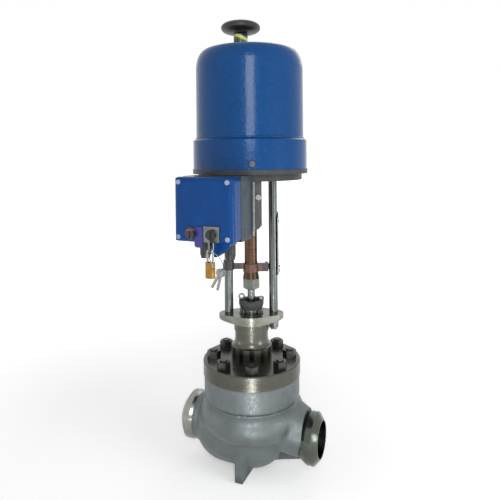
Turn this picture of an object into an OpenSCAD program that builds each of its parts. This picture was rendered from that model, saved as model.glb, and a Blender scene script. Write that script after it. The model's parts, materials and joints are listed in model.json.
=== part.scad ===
// Cage control valve, DN 50, butt-weld ends, with a two-pillar electric linear actuator.
// Origin: centre of the inlet's weld face. +X runs with the flow, +Z up along the stem.

/* [Pipe ends] */
// Distance between the two weld faces
face_to_face = 230; // [226:1:244]
// Outside radius of the pipe that is welded on
pipe_r = 30.15; // [29.5:0.05:31]
// Inside radius of the pipe that is welded on
bore_r = 26.25; // [25.5:0.05:27]
// Radius of the turned land behind each bevel
land_r = 38; // [36:0.5:40]
// Length of the turned land
land_l = 10; // [8:0.5:12]
// Length of the straight bore at each end
bore_depth = 22; // [18:1:24]

/* [Body casting] */
// Radius of the bowl below the seat
bowl_r = 59; // [58:0.5:61]
// How far the bowl reaches towards the inlet
bowl_reach = 38; // [34:1:40]
// Radius of the belly's centre circle
belly_ring_r = 55; // [53:0.5:57]
// Radius of the belly's round section
belly_r = 28; // [27:0.5:29]
// Radius of the rim under the bonnet
rim_r = 76.5; // [75:0.5:79]
// Depth of the rim
rim_h = 33; // [31:1:36]
// Height of the bonnet joint above the pipe axis
joint_z = 89; // [88:1:93]
// Thickness of the casting
casting_wall = 9; // [7:0.5:10]
// Radius of the cast passages behind the bores
passage_r = 24; // [22:0.5:25]
// Width of the foot rib
foot_w = 14; // [10:1:20]
// Length of the foot rib, across the pipe
foot_l = 114; // [90:1:120]
// Drop of the foot below the pipe axis
foot_drop = 62; // [62:1:70]

/* [Seat, cage and plug] */
// Radius of the seat's bore
seat_r = 20; // [18:0.5:21]
// Height of the seat's upper face above the pipe axis
seat_z = 12; // [11:0.5:13]
// Height of the seat ring
seat_h = 10; // [8:0.5:11]
// Outside radius of the cage and the seat ring
cage_r = 30.8; // [29:0.1:32]
// Inside radius of the cage
cage_bore_r = 23; // [22.5:0.1:24]
// Number of flow windows in the cage
window_count = 4; // [3:1:5]
// Height of a flow window
window_h = 25; // [22:1:28]
// Stroke of the valve
travel = 20; // [16:1:22]
// Height of the plug
plug_h = 40; // [36:1:42]

/* [Bonnet] */
// Radius of the bonnet flange
flange_r = 78; // [77:0.5:82]
// Thickness of the bonnet flange
flange_h = 22; // [18:1:26]
// Radius of the bolt circle
bolt_circle_r = 61; // [60:0.5:62]
// Number of bonnet bolts
bolt_count = 8; // [6:1:10]
// Radius of a bonnet stud
stud_r = 6; // [5:0.5:6.5]
// Radius of the bonnet's turned hub
hub_r = 32.5; // [31:0.5:40]
// Height of the turned hub
hub_h = 21; // [18:1:24]
// Radius of the bonnet's neck
neck_r = 26.5; // [24:0.5:28]
// Height of the neck
neck_h = 24; // [22:1:28]
// Radius of the collar under the yoke
collar_r = 28; // [26:0.5:30]
// Height of the collar
collar_h = 12; // [10:1:14]

/* [Stem and packing] */
// Radius of the valve stem
stem_r = 6; // [5.5:0.1:6.5]
// Radius of the packing box
packing_r = 11; // [10.5:0.1:11.5]
// Number of packing rings
packing_count = 5; // [4:1:6]
// Height of one packing ring
packing_ring_h = 7; // [6:0.5:7.5]
// Distance of the gland bolts from the stem axis
gland_bolt_x = 15.5; // [15:0.1:16]

/* [Yoke] */
// Turn of the yoke and actuator about the stem, from the pipe axis
head_turn = 22.5; // [0:0.5:45]
// Thickness of the yoke plate in its middle
yoke_t = 14; // [12:1:16]
// Thickness of the yoke plate at its ends
yoke_edge = 7; // [6:0.5:9]
// Distance of each pillar from the stem axis
pillar_x = 36; // [35:0.5:40]
// Radius of a pillar
pillar_r = 7; // [6.5:0.25:8]
// Free length of a pillar
pillar_l = 216; // [210:1:236]
// Height of the coupling nut above the yoke plate
coupling_lift = 39.5; // [38:0.5:42]
// Height of the coupling nut
coupling_h = 16.5; // [15:0.5:18]
// Radius of the actuator's spindle
spindle_r = 10.5; // [10:0.25:11]
// Height of the travel arm above the coupling nut
arm_lift = 11; // [8:1:14]
// Height of the travel arm
arm_h = 13; // [11:1:15]

/* [Actuator] */
// Radius of the actuator base's rim
base_r = 92; // [91.5:0.5:96]
// Thickness of the base's rim
base_rim_h = 7; // [6:0.5:9]
// Radius of the base's lower step
base_step_r = 83; // [78:0.5:83]
// Height of the base's lower step
base_step_h = 10; // [9.5:0.5:12]
// Radius of the hood's lower band
band_r = 91; // [90.5:0.5:91.5]
// Height of the hood's lower band
band_h = 48; // [44:1:52]
// Radius of the hood above the band
hood_r = 86; // [84:0.5:87]
// Height of the whole hood
hood_h = 190; // [188:1:210]
// Width of the hood's rounded shoulder
shoulder_w = 19; // [16:1:24]
// Height of the hood's rounded shoulder
shoulder_h = 34; // [28:1:38]
// Thickness of the hood
hood_wall = 3; // [2:0.5:3.5]

/* [Drive] */
// Tooth module of the gear pair
tooth_module = 1.25; // [1.2:0.01:1.3]
// Teeth of the drive gear
gear_teeth = 50; // [46:1:54]
// Teeth of the motor pinion
pinion_teeth = 14; // [13:1:16]
// Height of the drive gear
gear_h = 10; // [8:1:12]
// Height of the gear plate above the base
plate_lift = 33; // [32:1:36]
// Radius of the motor
motor_r = 27.5; // [25:0.5:28]
// Height of the motor
motor_h = 80; // [70:1:84]
// Direction of the motor from the stem axis
motor_turn = 110.5; // [100:0.5:120]

/* [Hand knob] */
// Radius of the hand knob
knob_r = 33.2; // [28:0.1:34]
// Height of the hand knob
knob_h = 22; // [20:1:26]
// Height of the neck between the hood and the knob
knob_lift = 36; // [32:1:40]
// Radius of the neck
sleeve_r = 12; // [11:0.5:13]
// Stroke of the hand knob
knob_stroke = 5; // [4:0.5:6]

/* [Control box] */
// Width of the control box
box_w = 92; // [90:1:96]
// Height of the control box
box_h = 90; // [87:1:94]
// Depth of the control box
box_d = 63; // [60:1:63]
// Depth of its blue cover
cover_d = 25; // [22:1:28]
// Thickness of the box walls
box_wall = 3.5; // [3:0.5:4]
// Radius of the cover's rounded edges
box_corner_r = 7; // [5:1:9]
// Turn of the box, away from the yoke's direction
box_turn = 24; // [22:0.5:26]
// Distance of the box front's middle left of the stem axis
box_left = 65.5; // [64:0.5:68]
// Distance of the box front's middle before the stem axis
box_front = 131; // [131:0.5:136]

/* [Hidden] */
$fn = 96;

// Running clearance of shafts, and the gap that parts of one body are built with
run_gap = 0.05;
fit_gap = 0.1;
// Clearance between parts that pass each other without guiding
free_gap = 0.3;

// Places along the pipe
half_length = face_to_face / 2;
bevel_angle = 37.5;
root_face = 1.6;
root_r = bore_r + root_face;
bevel_l = (pipe_r - root_r) * tan(bevel_angle);
taper_l = bevel_l + (land_r - pipe_r) * tan(bevel_angle);
land_x = half_length - taper_l - land_l;
waist_r = 29.5;

// Heights in the body and bonnet
belly_z = joint_z - rim_h - belly_r;
gasket_t = 2;
bridge_z = seat_z - seat_h - gasket_t - 3;
seat_gasket_t = 1.5;
spigot_h = 5;
cage_top_z = joint_z - spigot_h - gasket_t;
trim_bore_r = 38.5;
flange_z = joint_z + flange_h;
hub_z = flange_z + hub_h;
neck_z = hub_z + neck_h;
yoke_z = neck_z + collar_h;
yoke_top_z = yoke_z + yoke_t;
bonnet_top_z = yoke_top_z + 1;
bonnet_bore_r = stem_r + 0.5;
bush_wall = 3;
bush_h = 15;
packing_z = neck_z - 31;
flare_h = 13;
packing_top_z = packing_z + packing_count * packing_ring_h;
top_neck_r = 19.9;
pillar_stud_r = 5;
pillar_nut_af = 15;
stud_hole_depth = 27;
nut_h = 10.8;
stud_proud = 2;

// Heights of the stem group
coupling_z = yoke_top_z + coupling_lift;
spindle_z = coupling_z + coupling_h;
arm_z = spindle_z + arm_lift;

// Heights of the actuator
base_z = yoke_top_z + pillar_l;
rim_z = base_z + base_step_h;
hood_z = rim_z + base_rim_h;
hood_top_z = hood_z + hood_h;
knob_z = hood_top_z + knob_lift;
plate_z = hood_z + plate_lift;
plate_t = 4;
bearing_t = 3.8;
gear_hub_z = hood_z + bearing_t + 0.2;
gear_hub_r = 18;
gear_hub_h = plate_z - bearing_t - 0.4 - gear_hub_z;
gear_z = gear_hub_z + 10;
gear_pitch_r = tooth_module * gear_teeth / 2;
pinion_pitch_r = tooth_module * pinion_teeth / 2;
gear_centres = gear_pitch_r + pinion_pitch_r;
motor_z = plate_z + plate_t;
motor_top_z = motor_z + motor_h;
motor_shaft_r = 4;
boss_h = 17;
boss_r = sleeve_r + 5;
sleeve_flange_h = 3.7;
hand_shaft_r = 5;

// Places on the control box
box_top_z = rim_z - 0.5;
box_z = box_top_z - box_h;
gasket_y = cover_d;
housing_y = cover_d + 1.5;
selector_z = box_z + 13;
left_knob_x = -box_w / 2 + 29.5;
right_knob_x = left_knob_x + 31;
hasp_x = right_knob_x + 1.5;
hasp_y = -8;
hasp_hole_z = box_z - 4.6;
hasp_t = 2.6;
bow_r = 4.1;
wire_r = 1.5;
bow_z = hasp_hole_z - 3 + 0.3 + wire_r - bow_r;
padlock_w = 13;
padlock_d = 8;
padlock_h = 21;
padlock_z = bow_z - 13;
key_t = 1.4;

// Frames: the stem axis, the turned head and the front of the control box
module at_stem() {
    translate([half_length, 0, 0]) children();
}

module at_head() {
    at_stem() rotate([0, 0, head_turn]) children();
}

module at_motor() {
    at_head() rotate([0, 0, motor_turn]) translate([gear_centres, 0, 0]) children();
}

module at_box() {
    at_head() translate([-box_left, -box_front, 0]) rotate([0, 0, -box_turn]) children();
}

// Turns +Z towards a direction and starts at point p
module along(p, q) {
    v = q - p;
    translate(p) rotate([0, acos(v[2] / norm(v)), atan2(v[1], v[0])]) children();
}

// Ring between two radii
module ring(r_out, r_in, h) {
    difference() {
        cylinder(r = r_out, h = h);
        translate([0, 0, -1]) cylinder(r = r_in, h = h + 2);
    }
}

// Hexagon across flats, with a chamfered end at the top
module hexagon(af, h, chamfer = 0.8) {
    corner_r = af / sqrt(3);
    intersection() {
        cylinder(r = corner_r, h = h, $fn = 6);
        union() {
            cylinder(r = corner_r + 0.1, h = h - chamfer);
            translate([0, 0, h - chamfer])
                cylinder(r1 = corner_r + 0.1, r2 = corner_r - 1.6 * chamfer, h = chamfer);
        }
    }
}

module bolt_circle() {
    for (i = [0 : bolt_count - 1])
        at_stem() rotate([0, 0, (i + 0.5) * 360 / bolt_count]) translate([bolt_circle_r, 0, 0])
            children();
}

// Upright slab with round upright corners, centred on X and starting at Y = 0
module rounded_slab(w, d, h, r) {
    translate([-w / 2 + r, 0, 0]) cube([w - 2 * r, d, h]);
    translate([-w / 2, r, 0]) cube([w, d - 2 * r, h]);
    for (x = [-w / 2 + r, w / 2 - r], y = [r, d - r])
        translate([x, y, 0]) cylinder(r = r, h = h);
}

// Upright slab that is round at its front corners only
module front_slab(w, d, h, r) {
    translate([-w / 2 + r, 0, 0]) cube([w - 2 * r, d, h]);
    translate([-w / 2, r, 0]) cube([w, d - r, h]);
    for (x = [-w / 2 + r, w / 2 - r])
        translate([x, r, 0]) cylinder(r = r, h = h);
}

// Body casting

// Points of an arc in a profile, from one angle to another
function arc(c, r, a0, a1, n) = [for (i = [0 : n]) c + r * [cos(a0 + (a1 - a0) * i / n),
                                                            sin(a0 + (a1 - a0) * i / n)]];

// Turned profiles are drawn as (along the pipe, radius) and revolved about the pipe axis
module about_pipe(points) {
    rotate([0, 90, 0]) rotate([0, 0, 180]) rotate_extrude()
        polygon([for (p = points) [p[1], p[0]]]);
}

module cast_taper(p, q, r1, r2) {
    along(p, q) cylinder(r1 = r1, r2 = r2, h = norm(q - p));
}

// Bowl, inlet neck and the inlet's weld end in one revolved profile
module bowl_and_inlet() {
    neck_r1 = land_r - 2.7;
    about_pipe(concat(
        [[-half_length, 0], [-half_length, root_r], [bevel_l - half_length, pipe_r],
         [-half_length + taper_l, land_r], [-land_x, land_r], [5 - land_x, neck_r1]],
        arc([-bowl_reach, 0], bowl_r - 1, 137, 95, 8),
        arc([2, 0], bowl_r, 89, 0, 18)));
}

module outlet_end() {
    about_pipe([
        [land_x - 30, 0], [land_x - 30, waist_r - 2], [land_x - 8, land_r - 4.5],
        [land_x, land_r], [half_length - taper_l, land_r],
        [half_length - bevel_l, pipe_r], [half_length, root_r], [half_length, 0]
    ]);
}

// Belly and rim in one profile revolved about the stem
module belly_and_rim() {
    rim_start = asin((belly_r - 4) / belly_r);
    rotate_extrude() polygon(concat(
        [[0, belly_z - belly_r]],
        arc([belly_ring_r, belly_z], belly_r, -90, rim_start, 24),
        [[rim_r, belly_z + belly_r - 4], [rim_r, joint_z], [0, joint_z]]));
}

module casting_outside() {
    belly_and_rim();
    bowl_and_inlet();
    cast_taper([25, 0, belly_z - 1], [land_x - 5, 0, 3], 48, land_r - 3.5);
    outlet_end();
    translate([-foot_w / 2, -foot_l / 2, -foot_drop]) cube([foot_w, foot_l, foot_drop]);
    translate([0, foot_w / 2 - 2, 0]) rotate([90, 0, 0]) linear_extrude(foot_w - 4) polygon([
        [40, -20], [40, -46], [land_x - 41, -42], [land_x - 4, -33], [land_x - 4, -20]
    ]);
}

// Chamber above the seat, drawn towards the outlet
module gallery() {
    half_h = belly_r - casting_wall - 1;
    translate([12, 0, belly_z + 2]) rotate_extrude()
        polygon(concat([[0, -half_h]], arc([34, 0], half_h, -90, 90, 16), [[0, half_h]]));
    cast_taper([30, 0, belly_z - 1], [land_x - 3, 0, 0], passage_r, passage_r);
}

// Chamber below the seat, drawn towards the inlet
module under_seat() {
    inside_r = bowl_r - casting_wall;
    difference() {
        about_pipe(concat(arc([-bowl_reach, 0], inside_r - 1, 180, 91, 12),
                          arc([2, 0], inside_r, 89, 0, 12)));
        translate([-bowl_reach - 10, -100, bridge_z]) cube([200, 200, 100]);
        translate([-200, -100, passage_r]) cube([400, 200, 100]);
    }
    cast_taper([-land_x + 3, 0, 0], [-bowl_reach - 12, 0, 0], passage_r, passage_r);
}

module end_bore() {
    rotate([0, 90, 0]) translate([0, 0, half_length - bore_depth])
        cylinder(r = bore_r, h = bore_depth + 1);
}

module valve_body() color("lightgray") {
    difference() {
        at_stem() casting_outside();
        at_stem() {
            gallery();
            under_seat();
            end_bore();
            mirror([1, 0, 0]) end_bore();
            translate([0, 0, bridge_z - 1]) cylinder(r = cage_r - 4, h = seat_z);
            translate([0, 0, seat_z - seat_h - seat_gasket_t])
                cylinder(r = cage_r + fit_gap, h = seat_h + 40);
            translate([0, 0, belly_z + 2]) cylinder(r = trim_bore_r, h = joint_z);
            translate([0, 0, joint_z - gasket_t]) cylinder(r = bolt_circle_r - 11, h = 10);
        }
        bolt_circle() translate([0, 0, joint_z - stud_hole_depth])
            cylinder(r = stud_r + fit_gap, h = stud_hole_depth + 1);
    }
}

// Seat and cage

module seat_gasket() color("dimgray") at_stem()
    translate([0, 0, seat_z - seat_h - seat_gasket_t])
        ring(cage_r, cage_r - 3.5, seat_gasket_t);

module seat_ring() color("silver") at_stem() translate([0, 0, seat_z - seat_h]) difference() {
    cylinder(r = cage_r, h = seat_h);
    translate([0, 0, -1]) cylinder(r = seat_r, h = seat_h + 2);
    translate([0, 0, seat_h - 2]) cylinder(r1 = seat_r, r2 = seat_r + 2, h = 2.01);
    translate([0, 0, -0.01]) cylinder(r1 = seat_r + 4, r2 = seat_r, h = 3);
}

// One window that widens as the plug opens it
module flow_window() {
    rotate([90, 0, 90]) linear_extrude(cage_r + 5) polygon([
        [-1.5, 0], [1.5, 0], [3.5, 6], [8.5, 13], [8.5, window_h], [-8.5, window_h],
        [-8.5, 13], [-3.5, 6]
    ]);
}

module cage() color("silver") at_stem() difference() {
    union() {
        translate([0, 0, seat_z]) cylinder(r = cage_r, h = cage_top_z - seat_z);
        translate([0, 0, cage_top_z - 8]) cylinder(r = trim_bore_r - free_gap, h = 8);
    }
    translate([0, 0, seat_z - 1]) cylinder(r = cage_bore_r, h = cage_top_z);
    for (i = [0 : window_count - 1])
        rotate([0, 0, (i + 0.5) * 360 / window_count]) translate([0, 0, seat_z + 2]) flow_window();
}

module cage_gasket() color("dimgray") at_stem() translate([0, 0, cage_top_z])
    ring(trim_bore_r - free_gap, cage_r, gasket_t);

module bonnet_gasket() color("dimgray") at_stem() translate([0, 0, joint_z - gasket_t])
    ring(bolt_circle_r - 11 - fit_gap, trim_bore_r + fit_gap, gasket_t);

module plug_skirt() {
    difference() {
        union() {
            translate([0, 0, -4]) cylinder(r = seat_r - 1.5, h = 5);
            translate([0, 0, free_gap - 2]) cylinder(r1 = seat_r, r2 = seat_r + 2, h = 2.01);
            translate([0, 0, free_gap]) cylinder(r = cage_bore_r - free_gap, h = plug_h - free_gap);
        }
        translate([0, 0, plug_h - 12])
            ring(cage_bore_r + 1, cage_bore_r - 2.5, 4);
        translate([0, 0, 6]) cylinder(r = stem_r + fit_gap, h = plug_h);
        translate([0, 0, 26]) cylinder(r = cage_bore_r - 6, h = plug_h);
        for (a = [0, 180])
            rotate([0, 0, a]) translate([12, 0, -5]) cylinder(r = 2.5, h = 40);
    }
}

module plug() color("silver") at_stem() translate([0, 0, seat_z]) plug_skirt();

module piston_ring() color("dimgray") at_stem()
    translate([0, 0, seat_z + plug_h - 12 + fit_gap])
        ring(cage_bore_r - run_gap, cage_bore_r - 2.5 + fit_gap, 4 - 2 * fit_gap);

module stem() color("silver") at_stem() translate([0, 0, seat_z + 6 + fit_gap])
    cylinder(r = stem_r, h = coupling_z + coupling_h - 4 - seat_z - 6);

// Bonnet

module bonnet() color("silver") difference() {
    at_stem() union() {
        translate([0, 0, joint_z - spigot_h]) cylinder(r = trim_bore_r - free_gap, h = spigot_h + 1);
        translate([0, 0, joint_z]) cylinder(r = flange_r, h = flange_h - 1.5);
        translate([0, 0, flange_z - 1.5]) cylinder(r1 = flange_r, r2 = flange_r - 1.5, h = 1.5);
        translate([0, 0, flange_z - 1]) cylinder(r = hub_r, h = hub_h + 1);
        translate([0, 0, hub_z]) rotate_extrude() polygon(concat([[0, 0]],
            [for (a = [0 : 10 : 90]) [hub_r - (hub_r - neck_r) * sin(a), flare_h * (1 - cos(a))]],
            [[0, flare_h]]));
        translate([0, 0, hub_z]) cylinder(r = neck_r, h = neck_h);
        translate([0, 0, neck_z]) cylinder(r = collar_r, h = collar_h);
        translate([0, 0, yoke_z - 1]) cylinder(r = top_neck_r, h = bonnet_top_z - yoke_z + 1);
    }
    at_stem() {
        cylinder(r = bonnet_bore_r, h = bonnet_top_z + 10);
        translate([0, 0, joint_z - spigot_h - 1])
            cylinder(r = stem_r + bush_wall + fit_gap, h = bush_h + 1);
        translate([0, 0, packing_z]) cylinder(r = packing_r, h = bonnet_top_z);
    }
    bolt_circle() translate([0, 0, joint_z - 1]) cylinder(r = stud_r + 0.75, h = flange_h + 2);
    at_head() for (x = [-gland_bolt_x, gland_bolt_x])
        translate([x, 0, bonnet_top_z - 12]) cylinder(r = 2.6, h = 20);
}

module bonnet_studs() color("gray") bolt_circle()
    translate([0, 0, joint_z - stud_hole_depth + 1])
        cylinder(r = stud_r, h = stud_hole_depth - 1 + flange_h + nut_h + stud_proud);

module bonnet_nuts() color("gray") bolt_circle() translate([0, 0, flange_z]) difference() {
    hexagon(2 * stud_r * 1.58, nut_h);
    translate([0, 0, -1]) cylinder(r = stud_r + fit_gap, h = nut_h + 2);
}

module guide_bush() color("goldenrod") at_stem() translate([0, 0, joint_z - spigot_h])
    ring(stem_r + bush_wall, stem_r + run_gap, bush_h - fit_gap);

module packing_rings() color("darkslategray") at_stem()
    for (i = [0 : packing_count - 1])
        translate([0, 0, packing_z + i * packing_ring_h])
            ring(packing_r - fit_gap, stem_r + run_gap, packing_ring_h - fit_gap);

module gland_follower() color("silver") at_stem() difference() {
    union() {
        translate([0, 0, packing_top_z])
            cylinder(r = packing_r - fit_gap, h = bonnet_top_z + 7 - packing_top_z);
        translate([0, 0, bonnet_top_z + 2]) cylinder(r = packing_r + 1.2, h = 5);
    }
    cylinder(r = stem_r + free_gap, h = bonnet_top_z + 20);
}

// Cup-shaped flange that presses the follower down
module gland_flange() color("dimgray") at_head() translate([0, 0, bonnet_top_z + 7]) difference() {
    union() {
        cylinder(r1 = 17.5, r2 = 20, h = 7);
        translate([0, 0, 7]) cylinder(r = 20, h = 6);
    }
    translate([0, 0, -1]) cylinder(r = stem_r + 1, h = 20);
    translate([0, 0, 7]) cylinder(r = 12.5, h = 10);
    for (x = [-gland_bolt_x, gland_bolt_x])
        translate([x, 0, -1]) cylinder(r = 2.7, h = 20);
}

module gland_bolts() color("gray") at_head() {
    flange_top_z = bonnet_top_z + 20;
    for (x = [-gland_bolt_x, gland_bolt_x])
        translate([x, 0, bonnet_top_z - 11]) cylinder(r = 2.5, h = 31.5);
    translate([gland_bolt_x, 0, flange_top_z]) hexagon(9, 5);
    translate([-gland_bolt_x, 0, flange_top_z + 5.5]) rotate([90, 0, 0])
        rotate_extrude() translate([4, 0]) circle(1.3);
}

// Yoke

// Plate with a middle disc and two round ends, joined by tangents
module yoke_plate() color("silver") at_head() translate([0, 0, yoke_z]) difference() {
    mid_r = collar_r + 3;
    end_r = 16;
    lean = acos((mid_r - end_r) / pillar_x);
    union() {
        intersection() {
            union() {
                cylinder(r = mid_r, h = yoke_t);
                for (side = [0, 180]) rotate([0, 0, side]) {
                    translate([pillar_x, 0, 0]) cylinder(r = end_r, h = yoke_t);
                    linear_extrude(yoke_t) polygon([
                        mid_r * [cos(lean), sin(lean)], [0, 0], mid_r * [cos(lean), -sin(lean)],
                        [pillar_x, 0] + end_r * [cos(lean), -sin(lean)],
                        [pillar_x, 0] + end_r * [cos(lean), sin(lean)]
                    ]);
                }
            }
            rotate_extrude() polygon([
                [0, -1], [collar_r + 0.5, -1], [collar_r + 0.5, 0],
                [pillar_x + end_r + 1, yoke_t - yoke_edge], [pillar_x + end_r + 1, yoke_t + 1],
                [0, yoke_t + 1]
            ]);
        }
        translate([pillar_x, 0, 0]) cylinder(r = 9, h = yoke_t - yoke_edge);
    }
    translate([0, 0, -1]) cylinder(r = top_neck_r + fit_gap, h = yoke_t + 2);
    for (x = [-pillar_x, pillar_x])
        translate([x, 0, -1]) cylinder(r = pillar_stud_r + fit_gap, h = yoke_t + 2);
}

// The left pillar screws into the plate, the right one is held by a nut below it
module pillars() color("silver") at_head() for (x = [-pillar_x, pillar_x]) translate([x, 0, 0]) {
    stud_z = x < 0 ? yoke_top_z - yoke_edge : yoke_z - 12;
    translate([0, 0, yoke_top_z]) cylinder(r = pillar_r, h = pillar_l);
    translate([0, 0, stud_z]) cylinder(r = pillar_stud_r, h = hood_z + 11 - stud_z);
}

module pillar_nuts() color("gray") at_head() for (x = [-pillar_x, pillar_x]) translate([x, 0, 0]) {
    for (z = x < 0 ? [hood_z] : [yoke_z - 9, hood_z]) translate([0, 0, z]) difference() {
        rotate([0, 0, 30]) hexagon(pillar_nut_af, 9, 0.6);
        translate([0, 0, -1]) cylinder(r = pillar_stud_r + fit_gap, h = 12);
    }
}

module travel_scale() color("whitesmoke") at_head() difference() {
    translate([pillar_x + pillar_r + 0.2, 0, spindle_z + 5]) rotate([90, 0, 90])
        linear_extrude(1.8) polygon([[-7, 0], [7, 0], [7, 92], [0, 102], [-7, 92]]);
    for (z = [spindle_z + 12, spindle_z + 92])
        translate([pillar_x, 0, z]) rotate([0, 90, 0]) cylinder(r = 1.6, h = 30);
}

module scale_screws() color("silver") at_head() for (z = [spindle_z + 12, spindle_z + 92])
    translate([pillar_x + pillar_r + 0.2, 0, z]) rotate([0, 90, 0]) {
        cylinder(r = 1.5, h = 2);
        translate([0, 0, 1.8]) cylinder(r = 3, h = 1.6);
    }

module coupling_nut() color("silver") at_stem() translate([0, 0, coupling_z]) difference() {
    translate([0, 0, coupling_h]) mirror([0, 0, 1]) hexagon(25, coupling_h, 2.4);
    translate([0, 0, -1]) cylinder(r = stem_r + fit_gap, h = coupling_h - 3 + 0.5);
}

module spindle() color("peru") at_stem() translate([0, 0, spindle_z]) {
    cylinder(r = spindle_r, h = plate_z + 20 - spindle_z);
    cylinder(r1 = spindle_r + 3, r2 = spindle_r + 1.2, h = arm_lift - fit_gap);
}

// Hub on the spindle, an eye on the left pillar and a bar towards the right pillar
module travel_arm() color("dimgray") at_head() translate([0, 0, arm_z]) difference() {
    eye_r = pillar_r + 1.8;
    union() {
        cylinder(r1 = spindle_r + 2.5, r2 = spindle_r + 1.5, h = arm_h);
        translate([-pillar_x, 0, 3]) cylinder(r = eye_r, h = arm_h + 2);
        translate([-pillar_x, -3, 4]) cube([pillar_x - spindle_r, 6, arm_h - 4]);
        translate([spindle_r, -3, 0]) cube([pillar_x - pillar_r - 1 - spindle_r, 6, arm_h]);
        translate([pillar_x - pillar_r - 6, 0, 0]) cube([5, 12, arm_h]);
        translate([pillar_x - pillar_r - 6, 9, 1]) cube([pillar_r + 13.5, 3, arm_h - 4]);
    }
    translate([0, 0, -1]) cylinder(r = spindle_r + fit_gap, h = arm_h + 2);
    translate([-pillar_x, 0, -1]) cylinder(r = pillar_r + free_gap, h = arm_h + 12);
}

module pointer() color("firebrick") at_head()
    translate([pillar_x + 4, 12, arm_z + arm_h / 2 - 3]) {
        cube([8, 1.5, 3]);
        translate([5, -4, 0]) cube([1.5, 5.5, 3]);
    }

// Actuator

module actuator_base() color("dimgray") at_head() difference() {
    union() {
        translate([0, 0, base_z]) cylinder(r = base_step_r, h = base_step_h + 1);
        translate([0, 0, rim_z]) cylinder(r = base_r, h = base_rim_h);
    }
    translate([0, 0, base_z - 1]) cylinder(r = spindle_r + 5, h = 40);
    for (x = [-pillar_x, pillar_x])
        translate([x, 0, base_z - 1]) cylinder(r = pillar_stud_r + fit_gap, h = 40);
}

module base_bush() color("goldenrod") at_head() difference() {
    union() {
        translate([0, 0, base_z - 4]) cylinder(r = spindle_r + 8, h = 4);
        translate([0, 0, base_z]) cylinder(r = spindle_r + 5 - fit_gap, h = hood_z - base_z);
    }
    translate([0, 0, base_z - 10]) cylinder(r = spindle_r + run_gap, h = 60);
}

// Points of a rounded corner that runs from (r, h - rise) to (r - w, h)
function shoulder(r, h, w, rise) = [for (a = [0 : 7.5 : 90])
    [r - w * (1 - pow(cos(a), 0.88)), h - rise * (1 - pow(sin(a), 0.88))]];

// Closed cylinder with a rounded shoulder
module dome(r, h, w, rise) {
    rotate_extrude() polygon(concat([[0, 0], [r, 0]], shoulder(r, h, w, rise), [[0, h]]));
}

module hood() color("royalblue") difference() {
    union() {
        at_head() translate([0, 0, hood_z]) difference() {
            union() {
                dome(hood_r, hood_h, shoulder_w, shoulder_h);
                cylinder(r = band_r, h = band_h - 3);
                translate([0, 0, band_h - 3])
                    cylinder(r1 = band_r, r2 = hood_r + 1, h = 3);
                translate([0, 0, band_h + 1]) rotate_extrude()
                    translate([hood_r - 0.5, 0]) circle(1.6);
            }
            translate([0, 0, -1])
                dome(hood_r - hood_wall, hood_h - hood_wall + 1,
                     shoulder_w - hood_wall, shoulder_h - hood_wall);
            translate([0, 0, -1]) cylinder(r = band_r - hood_wall, h = band_h - 4);
        }
        at_motor() translate([0, 0, hood_top_z - boss_h]) cylinder(r = boss_r, h = boss_h - 1);
    }
    at_motor() translate([0, 0, hood_top_z - boss_h - 1])
        cylinder(r = sleeve_r + run_gap, h = boss_h + 10);
    hood_fixings() {
        translate([0, 0, -1.2]) cylinder(r = 6, h = 10);
        translate([0, 0, -20]) cylinder(r = 2.6, h = 40);
    }
}

// Three radial screws low on the hood's band, the first at the front
module hood_fixings() {
    for (i = [0 : 2])
        at_head() rotate([0, 0, i * 120 - 88]) translate([band_r, 0, hood_z + 9])
            rotate([0, 90, 0]) children();
}

module hood_screws() color("silver") hood_fixings() {
    translate([0, 0, -10]) cylinder(r = 2.5, h = 10);
    translate([0, 0, -1.2]) cylinder(r = 4.2, h = 2.4);
}

module hood_gasket() color("black") at_head() difference() {
    translate([0, 0, hood_z]) ring(band_r - hood_wall - fit_gap, band_r - hood_wall - 4.5, 16);
    for (i = [0 : 2])
        rotate([0, 0, i * 120 - 88]) translate([band_r - 20, 0, hood_z + 9]) rotate([0, 90, 0])
            cylinder(r = 2.6, h = 40);
}

// Drive

// Involute angle, in degrees, at radius r on a base circle
function involute(base, r) = r <= base ? 0 : let(t = sqrt(pow(r / base, 2) - 1))
    t * 180 / PI - atan(t);

// Outline of a spur gear with 25 degree teeth and a little backlash
function gear_outline(teeth) = let(
    pitch = tooth_module * teeth / 2,
    base = pitch * cos(25),
    radii = [pitch - 1.2 * tooth_module, pitch - 0.5 * tooth_module, pitch,
             pitch + 0.45 * tooth_module, pitch + 0.85 * tooth_module],
    half = 90 / teeth - 0.06 / pitch * 180 / PI,
    spread = [for (r = radii) half + involute(base, pitch) - involute(base, r)])
    [for (k = [0 : teeth - 1]) each concat(
        [for (i = [0 : 4]) radii[i] * [cos(k * 360 / teeth - spread[i]),
                                       sin(k * 360 / teeth - spread[i])]],
        [for (i = [4 : -1 : 0]) radii[i] * [cos(k * 360 / teeth + spread[i]),
                                            sin(k * 360 / teeth + spread[i])]])];

module drive_gear() color("goldenrod") at_head() difference() {
    union() {
        translate([0, 0, gear_z]) rotate([0, 0, motor_turn]) linear_extrude(gear_h)
            polygon(gear_outline(gear_teeth));
        translate([0, 0, gear_hub_z]) cylinder(r = gear_hub_r, h = gear_hub_h);
    }
    translate([0, 0, gear_hub_z - 1]) cylinder(r = spindle_r + run_gap, h = gear_hub_h + 2);
}

module motor_pinion() color("silver") at_motor() difference() {
    translate([0, 0, gear_z - 2]) rotate([0, 0, 180 + 180 / pinion_teeth])
        linear_extrude(gear_h + 4) polygon(gear_outline(pinion_teeth));
    translate([0, 0, gear_z - 5]) cylinder(r = motor_shaft_r + fit_gap / 5, h = 40);
}

module motor_shaft() color("gray") at_motor() translate([0, 0, gear_z - 2])
    cylinder(r = motor_shaft_r, h = motor_top_z + 6 - gear_z + 2);

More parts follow.
